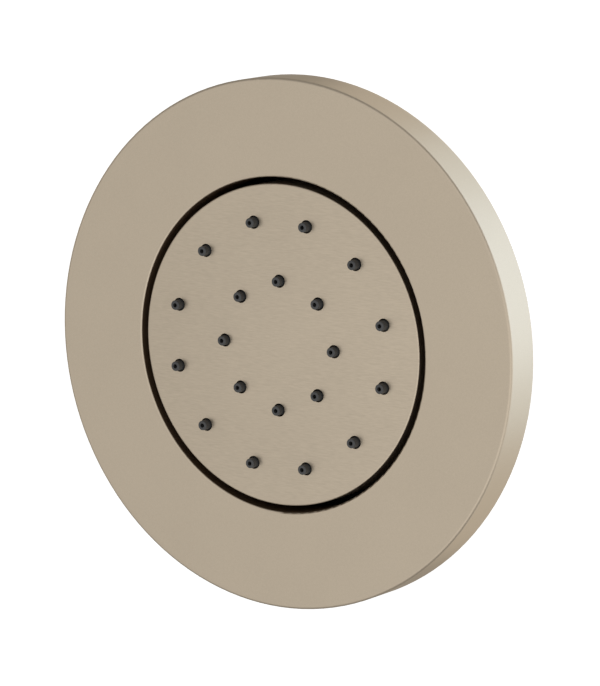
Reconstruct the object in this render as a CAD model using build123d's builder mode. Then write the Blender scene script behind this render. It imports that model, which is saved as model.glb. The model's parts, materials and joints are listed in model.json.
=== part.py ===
from build123d import *
import math
import os

# Round flush-mounted shower body jet, in millimetres.
# The jet's axis is Y. The finished wall is the plane y = 0, the spray leaves towards -Y, and +Z is up.
# Turned pieces are profiles of (radius, depth), drawn on the XY plane and revolved about Y.

# Driving dimensions: trim ring
trim_width = 22.1
trim_depth = 9.5
trim_sheet = 2.2
trim_rim_wall = 2.6
trim_edge_radius = 0.62
trim_corner_radius = 0.8
opening_diameter = 75.8
opening_edge_radius = 0.4
sleeve_wall = 2.8
sleeve_wall_gap = 0.5
rear_edge = 0.3

# Driving dimensions: spray face and its nozzles
face_gap = 1.5
face_recess = 0.2
face_crown = 0.7
face_sheet = 1.2
face_edge_radius = 0.35
skirt_wall = 1.8
skirt_lip = 1.4
outer_ring_radius = 28.2
outer_pair_angle = 14.4
inner_ring_radius = 14.6
inner_nozzles = 8
nozzle_base_diameter = 2.4
nozzle_tip_diameter = 2.2
nozzle_reach = 1.85
nozzle_round = 0.2
orifice_diameter = 1.0
orifice_length = 1.6
nozzle_inlet_diameter = 1.7
nozzle_hole_gap = 0.3

# Driving dimensions: water chamber behind the face
mat_thickness = 1.5
backing_thickness = 1.5
backing_hole_diameter = 2.4
water_gap = 3.3
chamber_wall = 2.5
chamber_rim_width = 4.0
chamber_ribs = 6
chamber_rib_width = 1.6
seal_floor_thickness = 1.2
snap_ring_thickness = 1.2
snap_ring_width = 3.0
snap_ring_opening_angle = 24.0
snap_ring_lug_radius = 2.4
snap_ring_lug_hole = 2.0
snap_groove_depth = 0.9

# Driving dimensions: ball joint
tilt_limit_angle = 4.5
pivot_depth = 13.5
ball_diameter = 16.0
ball_clearance = 0.05
ball_bore_diameter = 7.0
neck_diameter = 10.0
neck_reach = 11.5
socket_clearance = 0.5
seal_length = 2.2
seal_ledge = 0.4
split_ring_wall = 2.4
split_ring_front_angle = 15.0
split_ring_rear_angle = 40.0
split_ring_slot = 2.0
boss_diameter = 26.0
boss_reach = 1.0
collar_wall = 2.5
collar_end = 1.4
collar_pass = 0.2
collar_notches = 6
collar_notch_width = 4.0
collar_notch_depth = 1.2

# Driving dimensions: inlet nipple and its nut, on a half-inch parallel pipe thread
pipe_thread_diameter = 20.955
pipe_thread_length = 14.0
thread_relief = 1.6
thread_relief_depth = 1.2
thread_clearance = 0.05
thread_chamfer = 1.0
nipple_hex = 24.0
nipple_hex_thickness = 6.0
hex_corner_cut = 1.2
washer_thickness = 2.0
washer_diameter = 29.0
lock_washer_thickness = 1.2
lock_washer_diameter = 30.0
lock_nut_hex = 27.0
lock_nut_thickness = 6.0
insert_diameter = 14.4
insert_clearance = 0.05
regulator_length = 5.0
regulator_holes = 6
regulator_hole_diameter = 1.8
regulator_hole_offset = 4.2
regulator_recess = 1.6
strainer_length = 2.8
strainer_rim = 1.4
strainer_screen = 0.8
strainer_hole_diameter = 1.1
strainer_hole_pitch = 1.7

# Driving dimensions: housing in the wall
housing_wall = 2.5
housing_neck_wall = 2.6
housing_clearance = 0.6
housing_back_wall = 4.0
housing_back_radius = 24.0
housing_ribs = 8
housing_rib_width = 2.4
housing_rib_height = 1.8
housing_bend_radius = 4.0
housing_edge_radius = 1.0
flange_width = 8.5
flange_thickness = 2.5
gasket_thickness = 1.5
gasket_hole_diameter = 6.0
screw_inset = 4.0
screw_hole_diameter = 4.5
screw_count = 4
neck_top_gap = 0.4
mouth_lead_in = 0.6

# Driving dimensions: fits and squeezed seals
slip_clearance = 0.1
trim_clearance = 0.2
o_ring_squeeze_width = 1.9
o_ring_height = 1.6
o_ring_round = 0.6
groove_side_gap = 0.15
small_o_ring_width = 1.3
small_o_ring_height = 1.1
small_o_ring_round = 0.4
running_gap = 0.4

# Places worked out from those sizes
face_y = -trim_depth
opening_radius = opening_diameter / 2
trim_radius = opening_radius + trim_width
sleeve_radius = opening_radius + sleeve_wall
sleeve_end_y = -sleeve_wall_gap
pocket_y = face_y + trim_sheet

mouth_radius = sleeve_radius + trim_clearance
neck_radius = mouth_radius + housing_neck_wall
neck_top_y = pocket_y + neck_top_gap
flange_rear_y = -gasket_thickness
flange_front_y = flange_rear_y - flange_thickness
flange_radius = neck_radius + flange_width
screw_circle_radius = neck_radius + screw_inset
trim_ring_y = (neck_top_y + sleeve_end_y) / 2
trim_groove_radius = mouth_radius - o_ring_height
groove_half = o_ring_squeeze_width / 2 + groove_side_gap

face_radius = opening_radius - face_gap
face_edge_y = face_y + face_recess
crown_radius = (face_radius**2 + face_crown**2) / (2 * face_crown)
crown_centre_y = face_edge_y - face_crown + crown_radius
mat_front_y = face_edge_y + face_sheet
mat_rear_y = mat_front_y + mat_thickness
backing_rear_y = mat_rear_y + backing_thickness
chamber_front_y = backing_rear_y + water_gap
chamber_rear_y = chamber_front_y + chamber_wall
snap_rear_y = chamber_rear_y + snap_ring_thickness
skirt_end_y = snap_rear_y + skirt_lip
skirt_bore = face_radius - skirt_wall
stack_radius = skirt_bore - slip_clearance
nozzle_tip_y = face_y - nozzle_reach

ball_y = face_y + pivot_depth
ball_radius = ball_diameter / 2
seat_radius = ball_radius + ball_clearance
socket_radius = ball_radius + socket_clearance
seal_floor_y = chamber_front_y + seal_floor_thickness
seal_rear_y = seal_floor_y + seal_length
seal_hole_radius = math.sqrt(seat_radius**2 - (ball_y - seal_floor_y) ** 2) + seal_ledge
boss_end_y = ball_y + boss_reach
boss_radius = boss_diameter / 2
ring_outer_radius = seat_radius + split_ring_wall
collar_seat_radius = ring_outer_radius + ball_clearance
collar_bore = boss_radius + thread_clearance
collar_radius = collar_bore + collar_wall
collar_front_y = chamber_rear_y + slip_clearance
collar_step_y = boss_end_y + slip_clearance
collar_mouth_radius = ball_radius + collar_pass
collar_mouth_y = ball_y + math.sqrt(collar_seat_radius**2 - collar_mouth_radius**2)
collar_rear_y = collar_mouth_y + collar_end

hex_front_y = ball_y + neck_reach
hex_rear_y = hex_front_y + nipple_hex_thickness
housing_floor_y = hex_rear_y + washer_thickness
housing_rear_y = housing_floor_y + housing_back_wall
lock_nut_front_y = housing_rear_y + lock_washer_thickness
lock_nut_rear_y = lock_nut_front_y + lock_nut_thickness
relief_front_y = lock_nut_rear_y + running_gap
relief_rear_y = relief_front_y + thread_relief
inlet_end_y = relief_rear_y + pipe_thread_length
thread_radius = pipe_thread_diameter / 2
insert_bore = insert_diameter / 2
insert_radius = insert_bore - insert_clearance
strainer_front_y = inlet_end_y - thread_chamfer - strainer_length
insert_floor_y = strainer_front_y - regulator_length

cone_tilt = math.radians(tilt_limit_angle * math.sqrt(2))
skirt_sweep_y = ball_y + (skirt_end_y - ball_y) * math.cos(cone_tilt) + face_radius * math.sin(cone_tilt)
housing_bore = opening_radius + housing_clearance
housing_radius = housing_bore + housing_wall
housing_cone_y = skirt_sweep_y + running_gap
housing_back_outer = housing_back_radius + housing_wall
rib_radius = housing_radius + housing_rib_height
shoulder_y = sleeve_end_y + running_gap
neck_step_y = shoulder_y + housing_wall


def at_depth(y):
    """The plane across the jet's axis at that depth: local x is X, local y is Z, and its normal is -Y."""
    return Plane.XZ.offset(-y)


def radial_plane(angle):
    """The half plane through the jet's axis at that angle: local x is the radius, local y the depth."""
    c = math.cos(math.radians(angle))
    s = math.sin(math.radians(angle))
    return Plane(origin=(0, 0, 0), x_dir=(c, 0, s), z_dir=(-s, 0, c))


def ring_edges(part, radius, y):
    """The round edges of that radius at that depth."""
    near = 0.01
    round_edges = part.edges().filter_by(GeomType.CIRCLE)
    return round_edges.filter_by(lambda e: abs(e.radius - radius) < near and abs(e.center().Y - y) < near)


def round_points(radius, angles):
    """Places across the face on a circle of that radius, at those angles in degrees."""
    turns = [math.radians(a) for a in angles]
    return [(radius * math.cos(t), radius * math.sin(t)) for t in turns]


def squeezed_ring(inner_radius, height, width, corner, mid_y):
    """An O-ring flattened between two walls, so that its section is a rectangle with round corners."""
    with BuildPart() as ring:
        with BuildSketch(Plane.XY):
            with Locations((inner_radius + height / 2, mid_y)):
                RectangleRounded(height, width, corner)
        revolve(axis=Axis.Y)
    return ring.part


def hex_block(across_flats, front_y, rear_y, corner_cut):
    """A hexagon across the axis with both ends turned to a cone at the corners."""
    corner = across_flats / math.sqrt(3)
    with BuildPart() as block:
        with BuildSketch(at_depth(front_y)):
            RegularPolygon(across_flats / 2, 6, major_radius=False)
        extrude(amount=front_y - rear_y)
        with BuildSketch(Plane.XY):
            with BuildLine():
                Polyline(
                    (0, front_y),
                    (corner - corner_cut, front_y),
                    (corner, front_y + corner_cut / 2),
                    (corner, rear_y - corner_cut / 2),
                    (corner - corner_cut, rear_y),
                    (0, rear_y),
                    close=True,
                )
            make_face()
        revolve(axis=Axis.Y, mode=Mode.INTERSECT)
    return block.part


# Nozzle centres: an outer ring of four pairs with a single one between each two, and an even inner ring
pair_angles = [90.0 * k + a for k in range(4) for a in (-outer_pair_angle, outer_pair_angle)]
single_angles = [90.0 * k + 45.0 for k in range(4)]
outer_points = round_points(outer_ring_radius, pair_angles + single_angles)
inner_points = round_points(inner_ring_radius, [360.0 / inner_nozzles * k for k in range(inner_nozzles)])
nozzle_points = outer_points + inner_points

# Trim ring: a turned dish with a rim to the wall and an inner sleeve that pushes into the housing
with BuildPart() as escutcheon:
    with BuildSketch(Plane.XY):
        with BuildLine():
            Polyline(
                (opening_radius, face_y),
                (trim_radius, face_y),
                (trim_radius, 0),
                (trim_radius - trim_rim_wall, 0),
                (trim_radius - trim_rim_wall, pocket_y),
                (sleeve_radius, pocket_y),
                (sleeve_radius, trim_ring_y - groove_half),
                (trim_groove_radius, trim_ring_y - groove_half),
                (trim_groove_radius, trim_ring_y + groove_half),
                (sleeve_radius, trim_ring_y + groove_half),
                (sleeve_radius, sleeve_end_y),
                (opening_radius, sleeve_end_y),
                close=True,
            )
        make_face()
    revolve(axis=Axis.Y)
    fillet(ring_edges(escutcheon, trim_radius, face_y), trim_edge_radius)
    fillet(ring_edges(escutcheon, opening_radius, face_y), opening_edge_radius)
    fillet(ring_edges(escutcheon, trim_radius - trim_rim_wall, pocket_y), trim_corner_radius)
    chamfer(ring_edges(escutcheon, trim_radius, 0), rear_edge)
    chamfer(ring_edges(escutcheon, sleeve_radius, sleeve_end_y), rear_edge)

# O-ring that holds the sleeve in the housing's mouth
with BuildPart() as trim_o_ring:
    add(squeezed_ring(trim_groove_radius, o_ring_height, o_ring_squeeze_width, o_ring_round, trim_ring_y))

# Housing in the wall: a moulded cup with a mouth for the sleeve, a screw flange and outside ribs
with BuildPart() as wall_housing:
    with BuildSketch(Plane.XY):
        with BuildLine():
            Polyline(
                (mouth_radius, neck_top_y),
                (neck_radius, neck_top_y),
                (neck_radius, flange_front_y),
                (flange_radius, flange_front_y),
                (flange_radius, flange_rear_y),
                (neck_radius, flange_rear_y),
                (neck_radius, neck_step_y),
                (housing_radius, neck_step_y + neck_radius - housing_radius),
                (housing_radius, housing_cone_y),
                (housing_back_outer, housing_rear_y),
                (thread_radius + trim_clearance, housing_rear_y),
                (thread_radius + trim_clearance, housing_floor_y),
                (housing_back_radius, housing_floor_y),
                (housing_bore, housing_cone_y),
                (housing_bore, shoulder_y),
                (mouth_radius, shoulder_y),
                close=True,
            )
        make_face()
    revolve(axis=Axis.Y)
    fillet(ring_edges(wall_housing, housing_radius, housing_cone_y), housing_bend_radius)
    fillet(ring_edges(wall_housing, housing_bore, housing_cone_y), housing_bend_radius)
    fillet(ring_edges(wall_housing, housing_back_outer, housing_rear_y), housing_edge_radius)
    fillet(ring_edges(wall_housing, flange_radius, flange_front_y), housing_edge_radius)
    fillet(ring_edges(wall_housing, neck_radius, flange_front_y), housing_edge_radius)
    chamfer(ring_edges(wall_housing, mouth_radius, neck_top_y), mouth_lead_in)
    for k in range(housing_ribs):
        with BuildSketch(radial_plane(360.0 / housing_ribs * k)):
            with BuildLine():
                Polyline(
                    (housing_radius - housing_wall / 2, neck_step_y),
                    (rib_radius, neck_step_y),
                    (rib_radius, housing_cone_y),
                    (housing_back_outer + housing_rib_height, housing_rear_y),
                    (housing_back_outer - housing_wall / 2, housing_rear_y),
                    (housing_radius - housing_wall / 2, housing_cone_y),
                    close=True,
                )
            make_face()
        extrude(amount=housing_rib_width / 2, both=True)
    with BuildSketch(at_depth(flange_front_y)):
        with PolarLocations(screw_circle_radius, screw_count, start_angle=180.0 / screw_count):
            Circle(screw_hole_diameter / 2)
    extrude(amount=-flange_thickness, mode=Mode.SUBTRACT)

# Foam ring under the flange
with BuildPart() as wall_gasket:
    with BuildSketch(at_depth(flange_rear_y)):
        Circle(flange_radius)
        Circle(neck_radius + slip_clearance, mode=Mode.SUBTRACT)
        with PolarLocations(screw_circle_radius, screw_count, start_angle=180.0 / screw_count):
            Circle(gasket_hole_diameter / 2, mode=Mode.SUBTRACT)
    extrude(amount=-gasket_thickness)

# Inlet nipple: ball, neck, hexagon and pipe thread turned from one bar, bored through
nipple_hex_block = hex_block(nipple_hex, hex_front_y, hex_rear_y, hex_corner_cut)
with BuildPart() as ball_nipple:
    with BuildSketch(Plane.XY):
        with BuildLine():
            ball_front = -math.degrees(math.acos(ball_bore_diameter / ball_diameter))
            ball_rear = math.degrees(math.acos(neck_diameter / ball_diameter))
            ball_arc = CenterArc((0, ball_y), ball_radius, ball_front, ball_rear - ball_front)
            Polyline(
                ball_arc @ 1,
                (neck_diameter / 2, hex_rear_y),
                (thread_radius, hex_rear_y),
                (thread_radius, relief_front_y),
                (thread_radius - thread_relief_depth, relief_front_y),
                (thread_radius - thread_relief_depth, relief_rear_y),
                (thread_radius, relief_rear_y),
                (thread_radius, inlet_end_y - thread_chamfer),
                (thread_radius - thread_chamfer, inlet_end_y),
                (insert_bore, inlet_end_y),
                (insert_bore, insert_floor_y),
                (ball_bore_diameter / 2, insert_floor_y),
                ball_arc @ 0,
            )
        make_face()
    revolve(axis=Axis.Y)
    add(nipple_hex_block)
    with BuildSketch(at_depth(hex_front_y)):
        Circle(ball_bore_diameter / 2)
    extrude(amount=hex_front_y - hex_rear_y, mode=Mode.SUBTRACT)

# Sealing washer between the hexagon and the housing floor
with BuildPart() as nipple_washer:
    with BuildSketch(at_depth(hex_rear_y)):
        Circle(washer_diameter / 2)
        Circle(thread_radius + thread_clearance, mode=Mode.SUBTRACT)
    extrude(amount=-washer_thickness)

# Flat washer under the lock nut
with BuildPart() as lock_washer:
    with BuildSketch(at_depth(housing_rear_y)):
        Circle(lock_washer_diameter / 2)
        Circle(thread_radius + thread_clearance, mode=Mode.SUBTRACT)
    extrude(amount=-lock_washer_thickness)
    chamfer(ring_edges(lock_washer, lock_washer_diameter / 2, lock_nut_front_y), rear_edge)

# Lock nut behind the housing
lock_nut_block = hex_block(lock_nut_hex, lock_nut_front_y, lock_nut_rear_y, hex_corner_cut)
with BuildPart() as lock_nut:
    add(lock_nut_block)
    with BuildSketch(at_depth(lock_nut_front_y)):
        Circle(thread_radius + thread_clearance)
    extrude(amount=-lock_nut_thickness, mode=Mode.SUBTRACT)

# Flow regulator: a drilled plug with a conical recess and a groove for its O-ring
regulator_ring_y = insert_floor_y + regulator_length / 2
regulator_groove_radius = insert_bore - small_o_ring_height
small_groove_half = small_o_ring_width / 2 + groove_side_gap
with BuildPart() as flow_regulator:
    with BuildSketch(Plane.XY):
        with BuildLine():
            Polyline(
                (0, insert_floor_y),
                (insert_radius, insert_floor_y),
                (insert_radius, regulator_ring_y - small_groove_half),
                (regulator_groove_radius, regulator_ring_y - small_groove_half),
                (regulator_groove_radius, regulator_ring_y + small_groove_half),
                (insert_radius, regulator_ring_y + small_groove_half),
                (insert_radius, strainer_front_y),
                (regulator_groove_radius, strainer_front_y),
                (regulator_recess, strainer_front_y - regulator_recess),
                (0, strainer_front_y - regulator_recess),
                close=True,
            )
        make_face()
    revolve(axis=Axis.Y)
    with BuildSketch(at_depth(insert_floor_y)):
        with PolarLocations(regulator_hole_offset, regulator_holes):
            Circle(regulator_hole_diameter / 2)
    extrude(amount=-regulator_length, mode=Mode.SUBTRACT)

# O-ring round the flow regulator
with BuildPart() as regulator_o_ring:
    add(
        squeezed_ring(
            regulator_groove_radius,
            small_o_ring_height,
            small_o_ring_width,
            small_o_ring_round,
            regulator_ring_y,
        )
    )

# Inlet strainer: a rim with a drilled screen across its outer end, the holes in as many rings as fit
screen_radius = insert_radius - strainer_rim
strainer_rings = math.floor((screen_radius - strainer_hole_diameter / 2) / strainer_hole_pitch)
with BuildPart() as inlet_strainer:
    with BuildSketch(Plane.XY):
        with BuildLine():
            Polyline(
                (0, strainer_front_y + strainer_length - strainer_screen),
                (screen_radius, strainer_front_y + strainer_length - strainer_screen),
                (screen_radius, strainer_front_y),
                (insert_radius, strainer_front_y),
                (insert_radius, strainer_front_y + strainer_length),
                (0, strainer_front_y + strainer_length),
                close=True,
            )
        make_face()
    revolve(axis=Axis.Y)
    with BuildSketch(at_depth(strainer_front_y)):
        Circle(strainer_hole_diameter / 2)
        for k in range(1, strainer_rings + 1):
            with PolarLocations(k * strainer_hole_pitch, 6 * k):
                Circle(strainer_hole_diameter / 2)
    extrude(amount=-strainer_length, mode=Mode.SUBTRACT)

# Spray face: a turned cup with a slightly crowned front, a hole for each nozzle and a snap-ring groove
with BuildPart() as face_plate:
    with BuildSketch(Plane.XY):
        with BuildLine():
            Polyline(
                (0, nozzle_tip_y),
                (face_radius, nozzle_tip_y),
                (face_radius, skirt_end_y),
                (skirt_bore, skirt_end_y),
                (skirt_bore, snap_rear_y),
                (skirt_bore + snap_groove_depth, snap_rear_y),
                (skirt_bore + snap_groove_depth, chamber_rear_y),
                (skirt_bore, chamber_rear_y),
                (skirt_bore, mat_front_y),
                (0, mat_front_y),
                close=True,
            )
        make_face()
    revolve(axis=Axis.Y)
    with Locations((0, crown_centre_y, 0)):
        Sphere(crown_radius, mode=Mode.INTERSECT)
    fillet(ring_edges(face_plate, face_radius, face_edge_y), face_edge_radius)
    chamfer(ring_edges(face_plate, face_radius, skirt_end_y), rear_edge)
    with BuildSketch(at_depth(mat_front_y)):
        with Locations(*nozzle_points):
            Circle(nozzle_base_diameter / 2 + nozzle_hole_gap)
    extrude(amount=face_sheet + face_crown + nozzle_reach, mode=Mode.SUBTRACT)

# Nozzle: a slightly tapered barrel with the way through, the same at every centre
with BuildPart() as nozzle:
    with BuildSketch(Plane.XY):
        with BuildLine():
            Polyline(
                (orifice_diameter / 2, nozzle_tip_y),
                (nozzle_tip_diameter / 2, nozzle_tip_y),
                (nozzle_base_diameter / 2, mat_front_y),
                (nozzle_base_diameter / 2, mat_rear_y),
                (nozzle_inlet_diameter / 2, mat_rear_y),
                (orifice_diameter / 2, nozzle_tip_y + orifice_length),
                close=True,
            )
        make_face()
    revolve(axis=Axis.Y)
    fillet(ring_edges(nozzle, nozzle_tip_diameter / 2, nozzle_tip_y), nozzle_round)

# Nozzle mat: one moulded sheet with all the nozzles on it
with BuildPart() as nozzle_mat:
    with BuildSketch(at_depth(mat_front_y)):
        Circle(stack_radius)
        with Locations(*nozzle_points):
            Circle((nozzle_base_diameter + nozzle_inlet_diameter) / 4, mode=Mode.SUBTRACT)
    extrude(amount=-mat_thickness)
    with Locations(*[(x, 0, z) for x, z in nozzle_points]):
        add(nozzle.part)

# Backing plate: clamps the mat to the face and feeds each nozzle through its own hole
with BuildPart() as backing_plate:
    with BuildSketch(at_depth(mat_rear_y)):
        Circle(stack_radius)
        with Locations(*nozzle_points):
            Circle(backing_hole_diameter / 2, mode=Mode.SUBTRACT)
    extrude(amount=-backing_thickness)

# Spray chamber: the back of the head, with a rim on the backing plate, a ball socket and a threaded boss
chamber_ring_y = (backing_rear_y + chamber_rear_y) / 2
chamber_groove_radius = skirt_bore - o_ring_height
with BuildPart() as spray_chamber:
    with BuildSketch(Plane.XY):
        with BuildLine():
            Polyline(
                (seal_hole_radius, chamber_front_y),
                (stack_radius - chamber_rim_width, chamber_front_y),
                (stack_radius - chamber_rim_width, backing_rear_y),
                (stack_radius, backing_rear_y),
                (stack_radius, chamber_ring_y - groove_half),
                (chamber_groove_radius, chamber_ring_y - groove_half),
                (chamber_groove_radius, chamber_ring_y + groove_half),
                (stack_radius, chamber_ring_y + groove_half),
                (stack_radius, chamber_rear_y),
                (boss_radius, chamber_rear_y),
                (boss_radius, boss_end_y),
                (socket_radius, boss_end_y),
                (socket_radius, seal_floor_y),
                (seal_hole_radius, seal_floor_y),
                close=True,
            )
        make_face()
    revolve(axis=Axis.Y)
    for k in range(chamber_ribs):
        with BuildSketch(radial_plane(360.0 / chamber_ribs * (k + 0.5))):
            with BuildLine():
                Polyline(
                    (boss_radius, backing_rear_y),
                    (stack_radius - chamber_rim_width / 2, backing_rear_y),
                    (stack_radius - chamber_rim_width / 2, chamber_front_y + chamber_wall / 2),
                    (boss_radius, chamber_front_y + chamber_wall / 2),
                    close=True,
                )
            make_face()
        extrude(amount=chamber_rib_width / 2, both=True)

# O-ring round the chamber, inside the skirt of the spray face
with BuildPart() as chamber_o_ring:
    add(
        squeezed_ring(
            chamber_groove_radius,
            o_ring_height,
            o_ring_squeeze_width,
            o_ring_round,
            chamber_ring_y,
        )
    )

# Snap ring that locks the stack in the spray face: an open ring with two drilled lugs
snap_outer = skirt_bore + snap_groove_depth - slip_clearance
snap_inner = snap_outer - snap_ring_width
lug_angle = snap_ring_opening_angle / 2 + math.degrees(snap_ring_lug_radius / snap_inner)
with BuildPart() as retaining_ring:
    with BuildSketch(at_depth(chamber_rear_y)):
        Circle(snap_outer)
        Circle(snap_inner, mode=Mode.SUBTRACT)
        with BuildLine():
            Polyline(
                (0, 0),
                (snap_outer * 2, -snap_outer * 2 * math.tan(math.radians(snap_ring_opening_angle / 2))),
                (snap_outer * 2, snap_outer * 2 * math.tan(math.radians(snap_ring_opening_angle / 2))),
                close=True,
            )
        make_face(mode=Mode.SUBTRACT)
        with PolarLocations(snap_inner, 2, start_angle=-lug_angle, angular_range=4 * lug_angle):
            Circle(snap_ring_lug_radius)
            Circle(snap_ring_lug_hole / 2, mode=Mode.SUBTRACT)
        Circle(snap_outer, mode=Mode.INTERSECT)
    extrude(amount=-snap_ring_thickness)

# Ball seal: a wedge-shaped ring between the chamber's socket and the front of the ball
with BuildPart() as ball_seal:
    with BuildSketch(Plane.XY):
        with BuildLine():
            seal_from = -math.degrees(math.asin((ball_y - seal_floor_y) / seat_radius))
            seal_to = -math.degrees(math.asin((ball_y - seal_rear_y) / seat_radius))
            seal_arc = CenterArc((0, ball_y), seat_radius, seal_from, seal_to - seal_from)
            Polyline(
                seal_arc @ 1,
                (socket_radius - ball_clearance, seal_rear_y),
                (socket_radius - ball_clearance, seal_floor_y),
                seal_arc @ 0,
            )
        make_face()
    revolve(axis=Axis.Y)

# Split ring: the seat behind the ball, slotted so that it springs over the ball
with BuildPart() as split_ring:
    with BuildSketch(Plane.XY):
        with BuildLine():
            span = split_ring_rear_angle - split_ring_front_angle
            inner_arc = CenterArc((0, ball_y), seat_radius, split_ring_front_angle, span)
            outer_arc = CenterArc((0, ball_y), ring_outer_radius, split_ring_front_angle, span)
            Line(inner_arc @ 0, outer_arc @ 0)
            Line(inner_arc @ 1, outer_arc @ 1)
        make_face()
    revolve(axis=Axis.Y)
    with BuildSketch(at_depth(ball_y)):
        with Locations((0, -ring_outer_radius / 2)):
            Rectangle(split_ring_slot, ring_outer_radius)
    extrude(amount=-ring_outer_radius, mode=Mode.SUBTRACT)

# Swivel collar: the nut that holds the split ring against the ball
with BuildPart() as swivel_collar:
    with BuildSketch(Plane.XY):
        with BuildLine():
            seat_from = math.degrees(math.asin((collar_step_y - ball_y) / collar_seat_radius))
            seat_to = math.degrees(math.acos(collar_mouth_radius / collar_seat_radius))
            collar_arc = CenterArc((0, ball_y), collar_seat_radius, seat_from, seat_to - seat_from)
            Polyline(
                collar_arc @ 1,
                (collar_mouth_radius + collar_end, collar_rear_y),
                (collar_radius - collar_end, collar_rear_y),
                (collar_radius, collar_rear_y - collar_end),
                (collar_radius, collar_front_y),
                (collar_bore, collar_front_y),
                (collar_bore, collar_step_y),
                collar_arc @ 0,
            )
        make_face()
    revolve(axis=Axis.Y)
    with BuildSketch(at_depth(collar_front_y)):
        with PolarLocations(collar_radius, collar_notches):
            Rectangle(2 * collar_notch_depth, collar_notch_width)
    extrude(amount=collar_front_y - collar_rear_y, mode=Mode.SUBTRACT)

pieces = {
    "escutcheon": escutcheon,
    "trim_o_ring": trim_o_ring,
    "wall_housing": wall_housing,
    "wall_gasket": wall_gasket,
    "ball_nipple": ball_nipple,
    "nipple_washer": nipple_washer,
    "lock_washer": lock_washer,
    "lock_nut": lock_nut,
    "flow_regulator": flow_regulator,
    "regulator_o_ring": regulator_o_ring,
    "inlet_strainer": inlet_strainer,
    "face_plate": face_plate,
    "nozzle_mat": nozzle_mat,
    "backing_plate": backing_plate,
    "spray_chamber": spray_chamber,
    "chamber_o_ring": chamber_o_ring,
    "retaining_ring": retaining_ring,
    "ball_seal": ball_seal,
    "split_ring": split_ring,
    "swivel_collar": swivel_collar,
}

os.makedirs("parts", exist_ok=True)
for name, piece in pieces.items():
    piece.part.label = name
    export_step(piece.part, f"parts/{name}.step")
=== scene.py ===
import json
import math

import bmesh
import bpy
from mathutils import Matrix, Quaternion, Vector


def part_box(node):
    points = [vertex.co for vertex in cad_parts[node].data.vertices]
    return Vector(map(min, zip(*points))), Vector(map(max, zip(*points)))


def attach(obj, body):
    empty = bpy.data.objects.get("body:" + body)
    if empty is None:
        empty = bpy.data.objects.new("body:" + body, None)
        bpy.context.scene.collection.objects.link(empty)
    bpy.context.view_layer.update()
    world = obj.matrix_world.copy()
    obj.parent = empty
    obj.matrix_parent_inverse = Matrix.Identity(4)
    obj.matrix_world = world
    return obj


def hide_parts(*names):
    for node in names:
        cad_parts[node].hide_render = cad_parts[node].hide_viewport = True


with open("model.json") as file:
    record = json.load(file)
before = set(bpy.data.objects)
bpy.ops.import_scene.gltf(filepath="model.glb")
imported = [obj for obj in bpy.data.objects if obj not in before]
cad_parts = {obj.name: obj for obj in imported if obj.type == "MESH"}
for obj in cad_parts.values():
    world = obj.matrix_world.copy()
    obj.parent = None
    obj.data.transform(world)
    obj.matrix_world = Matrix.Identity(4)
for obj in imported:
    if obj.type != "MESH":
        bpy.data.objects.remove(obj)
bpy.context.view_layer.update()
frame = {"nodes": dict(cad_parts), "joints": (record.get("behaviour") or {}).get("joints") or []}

# Shower body jet in metres.
# The jet's axis is Y, the wall is y = 0, the spray leaves towards -Y, and +Z is up.
MM = 0.001

# The photograph's view: where the camera stands round the jet,
# and how far right of and above the picture's centre the jet's origin falls
VIEW_AZIMUTH = math.radians(33.18)
VIEW_ELEVATION = math.radians(9.364)
VIEW_ROLL = math.radians(0.03)
VIEW_DISTANCE = 0.95
PICTURE_HEIGHT = 686
FOCAL_PIXELS = 4214.1
ORIGIN_RIGHT_PIXELS = 3.29
ORIGIN_UP_PIXELS = 3.19
SENSOR = 36.0

# Stage
FLOOR_DROP = 1.9
STAGE_SIZE = 14.0
FLOOR_GLOW = 0.6
BACKDROP_GLOW = 0.44
BACKDROP_SUBDIVISIONS = 4
SKY_STRENGTH = 0.48
WHITE = (1, 1, 1, 1)
STAGE_COLOUR = (0.9, 0.9, 0.9, 1)
STAGE_ROUGHNESS = 0.9

# How far from the jet the nearer and the farther lights stand
NEAR_LIGHT = 1.2
FAR_LIGHT = 1.5

# Sizes of the CAD model that its boxes don't give
FACE_GAP = 1.5 * MM
BALL_RADIUS = 8.0 * MM
BALL_BORE = 3.5 * MM
NECK_RADIUS = 5.0 * MM
HEX_THICKNESS = 6.0 * MM
HEX_CORNER_CUT = 1.2 * MM
THREAD_RADIUS = 10.4775 * MM
THREAD_PITCH = 25.4 / 14 * MM
THREAD_DEPTH = 1.162 * MM
THREAD_CHAMFER = 1.0 * MM
RUNNING_GAP = 0.4 * MM
RELIEF_LENGTH = 1.6 * MM
RELIEF_DEPTH = 1.2 * MM
INSERT_BORE = 7.2 * MM

# Places worked out from the frame
nipple_low, nipple_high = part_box("ball_nipple")
OPENING_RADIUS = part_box("face_plate")[1].x + FACE_GAP
BALL_Y = frame["joints"][0]["pos_m"][1]
HEX_REAR_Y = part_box("nipple_washer")[0].y
HEX_FRONT_Y = HEX_REAR_Y - HEX_THICKNESS
HEX_FLATS = nipple_high.z - nipple_low.z
RELIEF_FRONT_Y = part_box("lock_nut")[1].y + RUNNING_GAP
RELIEF_REAR_Y = RELIEF_FRONT_Y + RELIEF_LENGTH
RELIEF_RADIUS = THREAD_RADIUS - RELIEF_DEPTH
INLET_END_Y = nipple_high.y
INSERT_FLOOR_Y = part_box("flow_regulator")[0].y

# Mesh steps of the inlet nipple
NIPPLE_SEGMENTS = 96
BALL_STEPS = 40
THREAD_STEPS = 12
SHARP_ANGLE = math.radians(35)


def node(tree, kind, **inputs):
    """A shader node with its plain settings and its socket values or links given by name."""
    made = tree.nodes.new(kind)
    for name, value in inputs.items():
        socket = name.replace("_", " ")
        if socket in made.inputs:
            if isinstance(value, bpy.types.NodeSocket):
                tree.links.new(value, made.inputs[socket])
            else:
                made.inputs[socket].default_value = value
        else:
            setattr(made, name, value)
    return made


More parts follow.
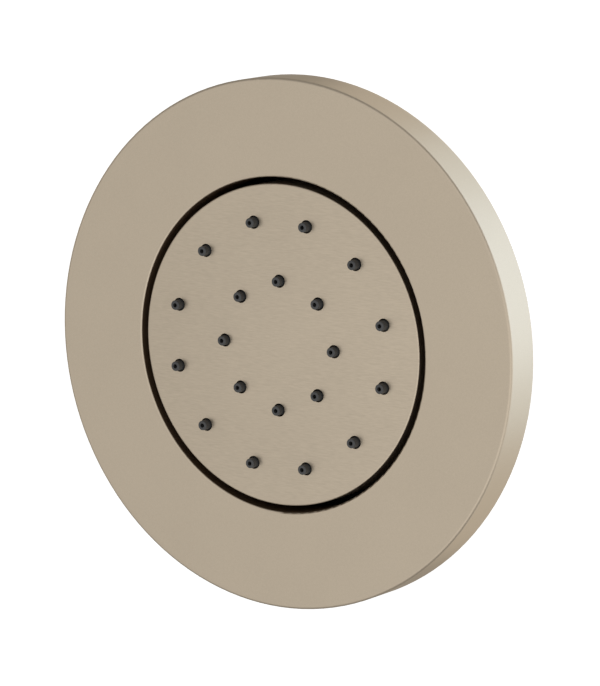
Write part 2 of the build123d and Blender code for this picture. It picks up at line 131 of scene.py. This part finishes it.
def surface(name, **values):
    """A material with one Principled shader, and its node tree and shader to add detail to."""
    material = bpy.data.materials.new(name)
    material.use_nodes = True
    shader = material.node_tree.nodes["Principled BSDF"]
    for key, value in values.items():
        shader.inputs[key.replace("_", " ")].default_value = value
    return material, material.node_tree, shader


def stretched(tree, scale):
    """Places in the jet's own frame, scaled by so many per metre along X, Y and Z."""
    place = node(tree, "ShaderNodeTexCoord")
    return node(tree, "ShaderNodeMapping", Vector=place.outputs["Object"], Scale=scale).outputs["Vector"]


def axis_radius(tree):
    """Distance from the jet's axis."""
    place = node(tree, "ShaderNodeTexCoord")
    flat = node(tree, "ShaderNodeMapping", Vector=place.outputs["Object"], Scale=(1, 0, 1))
    length = node(tree, "ShaderNodeVectorMath", operation="LENGTH", Vector=flat.outputs["Vector"])
    return length.outputs["Value"]


def turned_lines(tree, scale):
    """A place that changes with radius and depth alone, so that noise runs in rings like lathe marks."""
    place = node(tree, "ShaderNodeTexCoord")
    depth = node(tree, "ShaderNodeSeparateXYZ", Vector=place.outputs["Object"]).outputs["Y"]
    joined = node(tree, "ShaderNodeCombineXYZ", X=axis_radius(tree), Y=depth).outputs["Vector"]
    return node(tree, "ShaderNodeMapping", Vector=joined, Scale=(scale,) * 3).outputs["Vector"]


def turned_normal(tree):
    """The normal less what points round the jet's axis, of which a turned piece has none.
    It hides the seam where the mesh of a round face closes."""
    place = node(tree, "ShaderNodeTexCoord").outputs["Object"]
    normal = node(tree, "ShaderNodeNewGeometry").outputs["Normal"]
    quarter = (0, math.pi / 2, 0)
    around = node(tree, "ShaderNodeMapping", Vector=place, Rotation=quarter, Scale=(1, 0, 1))
    sideways = node(tree, "ShaderNodeVectorMath", operation="PROJECT", Vector=normal)
    tree.links.new(around.outputs["Vector"], sideways.inputs[1])
    kept = node(tree, "ShaderNodeVectorMath", operation="SUBTRACT", Vector=normal)
    tree.links.new(sideways.outputs["Vector"], kept.inputs[1])
    return kept.outputs["Vector"]


def noise(tree, vector, detail=3.0, rough=0.6):
    """A noise pattern over those places."""
    return node(
        tree, "ShaderNodeTexNoise", Vector=vector, Scale=1.0, Detail=detail, Roughness=rough
    ).outputs["Fac"]


def ramp(tree, value, start, end, low, high):
    """A value carried from one range to another, held at the ends."""
    return node(
        tree, "ShaderNodeMapRange", Value=value, From_Min=start, From_Max=end, To_Min=low, To_Max=high
    ).outputs["Result"]


# Between these two values lies most of a noise pattern
NOISE_LOW = 0.3
NOISE_HIGH = 0.7


def spread(tree, value, low, high):
    """A noise pattern spread over another range."""
    return ramp(tree, value, NOISE_LOW, NOISE_HIGH, low, high)


def tones(tree, value, dark, light):
    """A colour between two tones, by a noise pattern."""
    made = node(tree, "ShaderNodeValToRGB", Fac=value)
    made.color_ramp.elements[0].position = NOISE_LOW
    made.color_ramp.elements[0].color = (*dark, 1)
    made.color_ramp.elements[1].position = NOISE_HIGH
    made.color_ramp.elements[1].color = (*light, 1)
    return made.outputs["Color"]


def tint(tree, shader, value, dark, light):
    """Colours the shader between two tones by a noise pattern."""
    tree.links.new(tones(tree, value, dark, light), shader.inputs["Base Color"])


def bump(tree, shader, value, height):
    """Raises the surface by a pattern, to a height in metres."""
    raised = node(tree, "ShaderNodeBump", Height=value, Distance=height, Strength=1.0)
    tree.links.new(raised.outputs["Normal"], shader.inputs["Normal"])


def shade(colour, factor):
    """A colour made lighter or darker by a factor."""
    return tuple(min(1.0, c * factor) for c in colour)


# Finishes: colours, roughness, and patterns by their marks in a metre
NICKEL = (0.46, 0.39, 0.3)
NICKEL_EDGE = (0.8, 0.72, 0.62, 1)
NICKEL_GLOSS = (0.37, 0.43)
NICKEL_CLOUD = (45, 45, 45)
CLOUD_SHARE = 0.2
# The opening's wall: a dark brown colour that is painted shade with a warm painted reflection
WALL_PAINTED_SHADE_AND_REFLECTION = (0.2, 0.13, 0.08)
WALL_CONTRAST = 0.1
WALL_METAL = 0.85
WALL_EDGE = 0.04 * MM
WALL_LINES = 2500
METAL_CLOUD = (90, 90, 90)
METAL_GLOSS_SWING = 0.05
MOULDED_CLOUD = (60, 60, 60)
MOULDED_GLOSS_SWING = 0.04


def satin_nickel(name, grain, contrast, height, **values):
    """Satin nickel over a faint cloud, brushed with so many marks in a metre along X, Y and Z."""
    material, tree, shader = surface(name, Specular_Tint=NICKEL_EDGE, **values)
    marks = noise(tree, stretched(tree, grain), detail=2)
    cloud = noise(tree, stretched(tree, NICKEL_CLOUD), detail=2)
    both = node(tree, "ShaderNodeMix", Factor=CLOUD_SHARE, A=marks, B=cloud).outputs["Result"]
    tint(tree, shader, both, shade(NICKEL, 1 - contrast), shade(NICKEL, 1 + contrast))
    tree.links.new(spread(tree, marks, *NICKEL_GLOSS), shader.inputs["Roughness"])
    bump(tree, shader, marks, height)
    return material, tree, shader


def trim_nickel_and_painted_wall():
    """The trim ring's nickel, with a dark brown colour down the wall of its opening that is painted
    shade with a warm painted reflection.
    """
    material, tree, shader = satin_nickel(
        "trim_nickel", grain=(5000, 5000, 5000), contrast=0.06, height=0.002 * MM
    )
    outside = ramp(tree, axis_radius(tree), OPENING_RADIUS, OPENING_RADIUS + WALL_EDGE, 0.0, 1.0)
    lines = noise(tree, turned_lines(tree, WALL_LINES))
    # Painted shade with a warm painted reflection down the wall of the opening
    dark = shade(WALL_PAINTED_SHADE_AND_REFLECTION, 1 - WALL_CONTRAST)
    light = shade(WALL_PAINTED_SHADE_AND_REFLECTION, 1 + WALL_CONTRAST)
    painted_wall = tones(tree, lines, dark, light)
    nickel = shader.inputs["Base Color"].links[0].from_socket
    colour = node(tree, "ShaderNodeMixRGB", Fac=outside, Color1=painted_wall, Color2=nickel).outputs["Color"]
    tree.links.new(colour, shader.inputs["Base Color"])
    tree.links.new(ramp(tree, outside, 0.0, 1.0, WALL_METAL, 1.0), shader.inputs["Metallic"])
    grain = shader.inputs["Normal"].links[0].from_node
    tree.links.new(turned_normal(tree), grain.inputs["Normal"])
    return material


def turned_metal(name, colour, roughness, lines=4000, contrast=0.08, height=0.01 * MM):
    """Lathe-turned metal: fine rings in gloss and height, and a slow uneven tarnish in colour."""
    material, tree, shader = surface(name, Metallic=1.0, Roughness=roughness)
    rings = noise(tree, turned_lines(tree, lines), detail=2)
    cloud = noise(tree, stretched(tree, METAL_CLOUD), detail=4)
    tint(tree, shader, cloud, shade(colour, 1 - contrast), shade(colour, 1 + contrast))
    gloss = spread(tree, rings, roughness - METAL_GLOSS_SWING, roughness + METAL_GLOSS_SWING)
    tree.links.new(gloss, shader.inputs["Roughness"])
    bump(tree, shader, rings, height)
    return material


def moulded(name, colour, roughness, grain=2500, contrast=0.12, height=0.02 * MM, **values):
    """Moulded plastic or rubber: a fine even grain in gloss and height, and faint clouds in colour."""
    material, tree, shader = surface(name, Roughness=roughness, **values)
    cloud = noise(tree, stretched(tree, MOULDED_CLOUD), detail=4)
    fine = noise(tree, stretched(tree, (grain,) * 3), detail=2)
    tint(tree, shader, cloud, shade(colour, 1 - contrast), shade(colour, 1 + contrast))
    gloss = spread(tree, fine, roughness - MOULDED_GLOSS_SWING, roughness + MOULDED_GLOSS_SWING)
    tree.links.new(gloss, shader.inputs["Roughness"])
    bump(tree, shader, fine, height)
    return material


def dress(name, material):
    """Gives a CAD node that material all over."""
    for slot in frame["nodes"][name].material_slots:
        slot.material = material


plate_nickel = satin_nickel(
    "plate_nickel", grain=(450, 4500, 4500), contrast=0.09, height=0.0025 * MM, Metallic=1.0
)[0]
trim_nickel = trim_nickel_and_painted_wall()
brass = turned_metal("turned_brass", colour=(0.6, 0.44, 0.2), roughness=0.28)
steel = turned_metal("spring_steel", colour=(0.5, 0.5, 0.5), roughness=0.32)
silicone = moulded(
    "nozzle_silicone",
    colour=(0.033, 0.033, 0.033), roughness=0.5, height=0.004 * MM, Specular_IOR_Level=0.4,
)
black_plastic = moulded("black_moulding", colour=(0.024, 0.021, 0.018), roughness=0.45)
grey_plastic = moulded("grey_moulding", colour=(0.095, 0.09, 0.084), roughness=0.45)
acetal = moulded("acetal", colour=(0.7, 0.69, 0.65), roughness=0.4)
strainer_plastic = moulded("strainer_plastic", colour=(0.5, 0.48, 0.44), roughness=0.4)
rubber = moulded("black_rubber", colour=(0.015, 0.015, 0.015), roughness=0.55)
foam = moulded(
    "gasket_foam", colour=(0.04, 0.036, 0.032), roughness=0.9, grain=1200, height=0.12 * MM
)
fibre = moulded("fibre", colour=(0.16, 0.04, 0.025), roughness=0.7)

finishes = {
    plate_nickel: ["face_plate"],
    trim_nickel: ["escutcheon"],
    brass: ["lock_nut", "swivel_collar"],
    steel: ["lock_washer", "retaining_ring"],
    silicone: ["nozzle_mat"],
    black_plastic: ["wall_housing"],
    grey_plastic: ["backing_plate", "spray_chamber"],
    acetal: ["split_ring", "flow_regulator"],
    strainer_plastic: ["inlet_strainer"],
    rubber: ["trim_o_ring", "chamber_o_ring", "regulator_o_ring", "ball_seal"],
    foam: ["wall_gasket"],
    fibre: ["nipple_washer"],
}
for material, names in finishes.items():
    for name in names:
        dress(name, material)


def turned(name, rows, segments, material):
    """A closed surface round the jet's axis. Each row is a depth and a radius, or a function
    from angle to radius, and the last row joins the first."""
    points = []
    for depth, radius in rows:
        for k in range(segments):
            angle = 2 * math.pi * k / segments
            r = radius(angle) if callable(radius) else radius
            points.append((r * math.cos(angle), depth, r * math.sin(angle)))
    faces = []
    for i in range(len(rows)):
        j = (i + 1) % len(rows)
        for k in range(segments):
            m = (k + 1) % segments
            faces.append((i * segments + k, i * segments + m, j * segments + m, j * segments + k))
    mesh = bpy.data.meshes.new(name)
    mesh.from_pydata(points, [], faces)
    shape = bmesh.new()
    shape.from_mesh(mesh)
    bmesh.ops.recalc_face_normals(shape, faces=shape.faces)
    for edge in shape.edges:
        edge.smooth = edge.calc_face_angle(0) < SHARP_ANGLE
    shape.to_mesh(mesh)
    shape.free()
    mesh.shade_smooth()
    mesh.materials.append(material)
    made = bpy.data.objects.new(name, mesh)
    bpy.context.collection.objects.link(made)
    return made


def hexagon(angle, limit):
    """Radius of a hexagon with a corner on X, turned down to a limit."""
    side = angle % (math.pi / 3) - math.pi / 6
    return min(HEX_FLATS / 2 / math.cos(side), limit)


def thread(depth, angle, limit):
    """Radius of the pipe thread, whose round crests and roots follow a helix, turned down to a limit."""
    turn = depth / THREAD_PITCH - angle / (2 * math.pi)
    sunk = THREAD_DEPTH * (1 - math.cos(2 * math.pi * turn)) / 2
    return min(THREAD_RADIUS - sunk, limit)


def nipple_rows():
    """Outline of the inlet nipple: ball, neck, hexagon and two lengths of thread, then the bore
    back to the ball."""
    rows = []
    front = -math.acos(BALL_BORE / BALL_RADIUS)
    rear = math.acos(NECK_RADIUS / BALL_RADIUS)
    for k in range(BALL_STEPS + 1):
        turn = front + (rear - front) * k / BALL_STEPS
        rows.append((BALL_Y + BALL_RADIUS * math.sin(turn), BALL_RADIUS * math.cos(turn)))
    corner = HEX_FLATS / math.sqrt(3)
    rows.append((HEX_FRONT_Y, NECK_RADIUS))
    for depth, limit in (
        (HEX_FRONT_Y, corner - HEX_CORNER_CUT),
        (HEX_FRONT_Y + HEX_CORNER_CUT / 2, corner),
        (HEX_REAR_Y - HEX_CORNER_CUT / 2, corner),
        (HEX_REAR_Y, corner - HEX_CORNER_CUT),
    ):
        rows.append((depth, lambda angle, limit=limit: hexagon(angle, limit)))
    for start, end, cut in (
        (HEX_REAR_Y, RELIEF_FRONT_Y, 0.0),
        (RELIEF_REAR_Y, INLET_END_Y, THREAD_CHAMFER),
    ):
        rows.append((start, RELIEF_RADIUS))
        steps = round((end - start) / THREAD_PITCH * THREAD_STEPS)
        for k in range(steps + 1):
            depth = start + (end - start) * k / steps
            limit = THREAD_RADIUS - max(0.0, cut - (end - depth))
            rows.append((depth, lambda angle, depth=depth, limit=limit: thread(depth, angle, limit)))
        if not cut:
            rows.append((end, RELIEF_RADIUS))
    rows.append((INLET_END_Y, INSERT_BORE))
    rows.append((INSERT_FLOOR_Y, INSERT_BORE))
    rows.append((INSERT_FLOOR_Y, BALL_BORE))
    return rows


nipple = turned("threaded_nipple", nipple_rows(), NIPPLE_SEGMENTS, brass)
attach(nipple, "wall_unit")
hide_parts("ball_nipple")


def camera():
    """A camera at the photograph's angle, moved a little across its view so that the jet sits
    where it does in the photograph."""
    data = bpy.data.cameras.new("camera")
    data.sensor_width = SENSOR
    data.lens = FOCAL_PIXELS * SENSOR / PICTURE_HEIGHT
    made = bpy.data.objects.new("camera", data)
    bpy.context.collection.objects.link(made)
    away = Vector((
        math.sin(VIEW_AZIMUTH) * math.cos(VIEW_ELEVATION),
        -math.cos(VIEW_AZIMUTH) * math.cos(VIEW_ELEVATION),
        math.sin(VIEW_ELEVATION),
    ))
    turn = (-away).to_track_quat("-Z", "Y") @ Quaternion((0, 0, 1), VIEW_ROLL)
    pixel = VIEW_DISTANCE / FOCAL_PIXELS
    side = turn @ Vector((-ORIGIN_RIGHT_PIXELS * pixel, -ORIGIN_UP_PIXELS * pixel, 0))
    made.location = away * VIEW_DISTANCE + side
    made.rotation_euler = turn.to_euler()
    bpy.context.scene.camera = made


def soft_light(name, direction, distance, size, power, colour=(1, 1, 1)):
    """A round soft light that looks at the jet from that direction."""
    data = bpy.data.lights.new(name, "AREA")
    data.shape = "DISK"
    data.size = size
    data.energy = power
    data.color = colour
    made = bpy.data.objects.new(name, data)
    bpy.context.collection.objects.link(made)
    towards = Vector(direction).normalized()
    made.location = towards * distance
    made.rotation_euler = (-towards).to_track_quat("-Z", "Y").to_euler()
    made.visible_camera = False


def pale(name, mesh, glow):
    """A plain white stage piece that shows behind the jet and isn't mirrored in it."""
    made = bpy.data.objects.new(name, mesh)
    bpy.context.collection.objects.link(made)
    material, _, shader = surface(name, Roughness=STAGE_ROUGHNESS)
    shader.inputs["Base Color"].default_value = STAGE_COLOUR
    shader.inputs["Emission Color"].default_value = WHITE
    shader.inputs["Emission Strength"].default_value = glow
    mesh.materials.append(material)
    made.visible_glossy = False
    return made


def stage():
    """A plain pale floor well below the jet, a far round backdrop that only the camera sees,
    and an even sky."""
    half = STAGE_SIZE / 2
    ground = bpy.data.meshes.new("floor")
    corners = [(-half, -half, 0), (half, -half, 0), (half, half, 0), (-half, half, 0)]
    ground.from_pydata(corners, [], [(0, 1, 2, 3)])
    floor = pale("floor", ground, FLOOR_GLOW)
    floor.location.z = -FLOOR_DROP
    dome = bpy.data.meshes.new("backdrop")
    shape = bmesh.new()
    bmesh.ops.create_icosphere(shape, subdivisions=BACKDROP_SUBDIVISIONS, radius=half)
    shape.to_mesh(dome)
    shape.free()
    backdrop = pale("backdrop", dome, BACKDROP_GLOW)
    backdrop.visible_diffuse = False
    backdrop.visible_shadow = False
    world = bpy.data.worlds.new("sky")
    world.use_nodes = True
    sky = world.node_tree.nodes["Background"]
    sky.inputs["Color"].default_value = WHITE
    sky.inputs["Strength"].default_value = SKY_STRENGTH
    bpy.context.scene.world = world


camera()
stage()
soft_light(
    "back_right",
    direction=(0.56, 0.81, 0.2), distance=NEAR_LIGHT, size=1.0, power=2.0, colour=(0.55, 0.73, 1.0),
)
soft_light(
    "back_right_wide",
    direction=(0.56, 0.79, 0.24), distance=NEAR_LIGHT, size=2.0, power=7.3, colour=(0.53, 0.75, 1.0),
)
soft_light("back", direction=(0.53, 0.83, 0.14), distance=NEAR_LIGHT, size=4.2, power=25)
soft_light("front", direction=(0.08, -0.99, -0.1), distance=FAR_LIGHT, size=4.0, power=24.2)
soft_light("right", direction=(0.98, -0.17, -0.12), distance=FAR_LIGHT, size=2.4, power=6.4)
soft_light("low_front", direction=(0.3, -0.8, -0.5), distance=FAR_LIGHT, size=1.4, power=1.4)
soft_light("left", direction=(-0.9, 0.42, -0.1), distance=FAR_LIGHT, size=1.4, power=3.5)
bpy.context.scene.view_settings.view_transform = "Standard"
